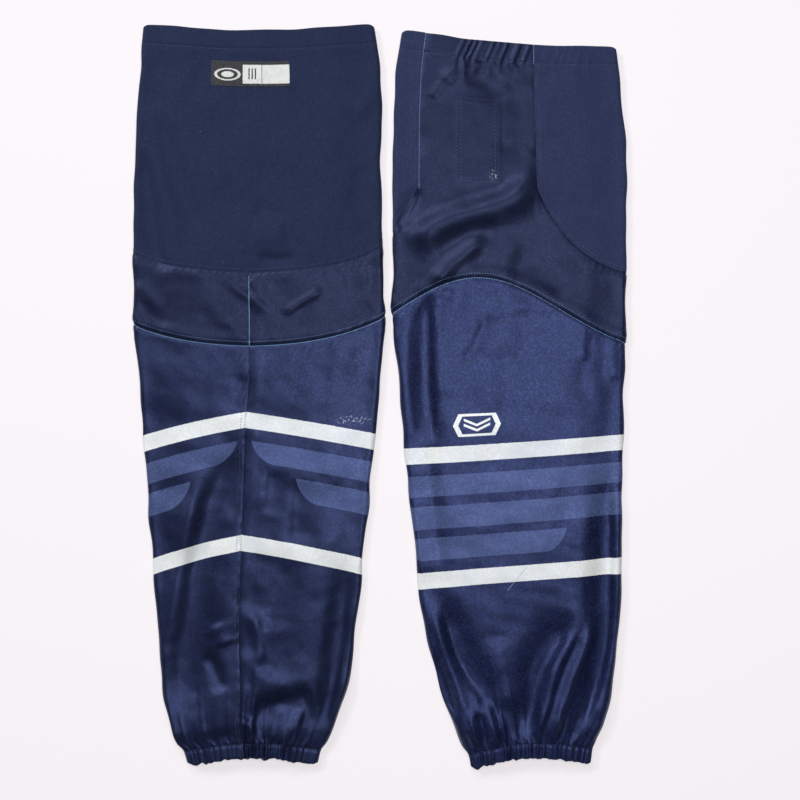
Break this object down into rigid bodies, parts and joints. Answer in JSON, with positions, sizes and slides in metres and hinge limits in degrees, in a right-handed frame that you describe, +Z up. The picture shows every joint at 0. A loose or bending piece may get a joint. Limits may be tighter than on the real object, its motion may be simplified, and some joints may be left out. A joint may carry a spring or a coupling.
{
  "type": "ice hockey leg covers",
  "caption": "Pair of open knitted leg covers for ice hockey, with elastic at waist and ankle ends, a stretch panel behind the thigh and striped shins.",
  "frame": {"origin": "centre of the pair, on the surface it lies on", "axes": "+X across the pair from the left cover to the right one, +Y towards the waist ends, +Z up from the surface"},
  "size_m": [0.494, 0.7484, 0.0153],
  "materials": {
    "stretch_knit": "matte navy stretch knit",
    "sheen_knit": "smooth navy knit with a satin sheen",
    "printed_knit": "smooth navy knit with light and blue stripes and a satin sheen",
    "elastic": "ribbed woven elastic",
    "thread": "blue polyester thread",
    "label": "smooth woven label",
    "emblem": "thin printed transfer",
    "hook_and_loop": "loop pile"
  },
  "bodies": {
    "left_thigh": {"left_rear_thigh_panel": "stretch_knit", "left_front_thigh_panel": "sheen_knit", "left_shin_panel_top": "printed_knit", "left_rear_waist_casing": "stretch_knit", "left_front_waist_casing": "sheen_knit", "left_waist_elastic": "elastic", "left_thigh_seam": "thread", "left_knee_seam": "thread", "left_knee_back_seam": "thread", "left_size_label": "label", "left_loop_patch": "hook_and_loop"},
    "left_shin": {"left_shin_panel": "printed_knit", "left_ankle_casing": "printed_knit", "left_ankle_elastic": "elastic", "left_shin_back_seam": "thread", "left_shin_emblem": "emblem"},
    "right_thigh": {"right_rear_thigh_panel": "stretch_knit", "right_front_thigh_panel": "sheen_knit", "right_shin_panel_top": "printed_knit", "right_rear_waist_casing": "stretch_knit", "right_front_waist_casing": "sheen_knit", "right_waist_elastic": "elastic", "right_thigh_seam": "thread", "right_knee_seam": "thread", "right_knee_back_seam": "thread", "right_size_label": "label", "right_loop_patch": "hook_and_loop"},
    "right_shin": {"right_shin_panel": "printed_knit", "right_ankle_casing": "printed_knit", "right_ankle_elastic": "elastic", "right_shin_back_seam": "thread", "right_shin_emblem": "emblem"}
  },
  "joints": [
    {"name": "left_knee_fold", "type": "hinge", "parent": "left_thigh", "child": "left_shin", "pos_m": [-0.1215, 0.0382, 0.0155], "axis": [-1, 0, 0], "range_deg": [0, 170]},
    {"name": "right_knee_fold", "type": "hinge", "parent": "right_thigh", "child": "right_shin", "pos_m": [0.13, 0.0252, 0.0155], "axis": [-1, 0, 0], "range_deg": [0, 170]},
    {"name": "pair_apart", "type": "slide", "parent": "left_thigh", "child": "right_thigh", "axis": [1, 0, 0], "range_m": [0, 0.25]}
  ]
}
